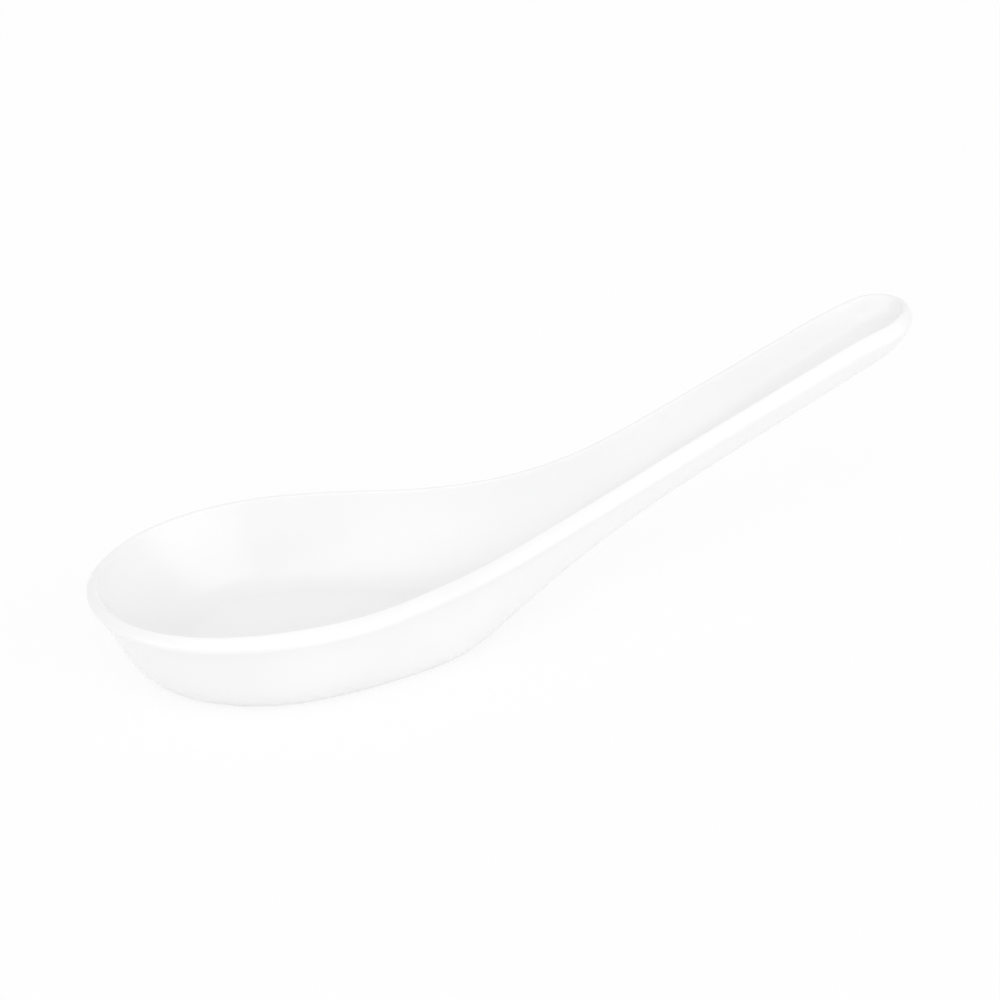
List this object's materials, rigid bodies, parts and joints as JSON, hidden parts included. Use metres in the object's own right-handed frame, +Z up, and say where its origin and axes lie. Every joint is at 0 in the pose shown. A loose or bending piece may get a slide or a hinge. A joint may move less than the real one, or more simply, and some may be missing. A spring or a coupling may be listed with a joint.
{
  "type": "soup spoon",
  "caption": "Deep oval soup spoon bowl on a flat foot, with a rounded lip and a trough-shaped handle that climbs out of the bowl.",
  "frame": {"origin": "middle of the flat foot, on the table plane", "axes": "+X along the spoon from the bowl to the handle's end, +Z up out of the bowl, +Y across"},
  "size_m": [0.1351, 0.0454, 0.0391],
  "materials": {
    "porcelain": "bare fired white porcelain, matt, shows only at the foot",
    "glaze": "glossy clear glaze over white porcelain"
  },
  "bodies": {
    "root": {"porcelain_body": "porcelain", "glaze_coat": "glaze"}
  },
  "joints": []
}
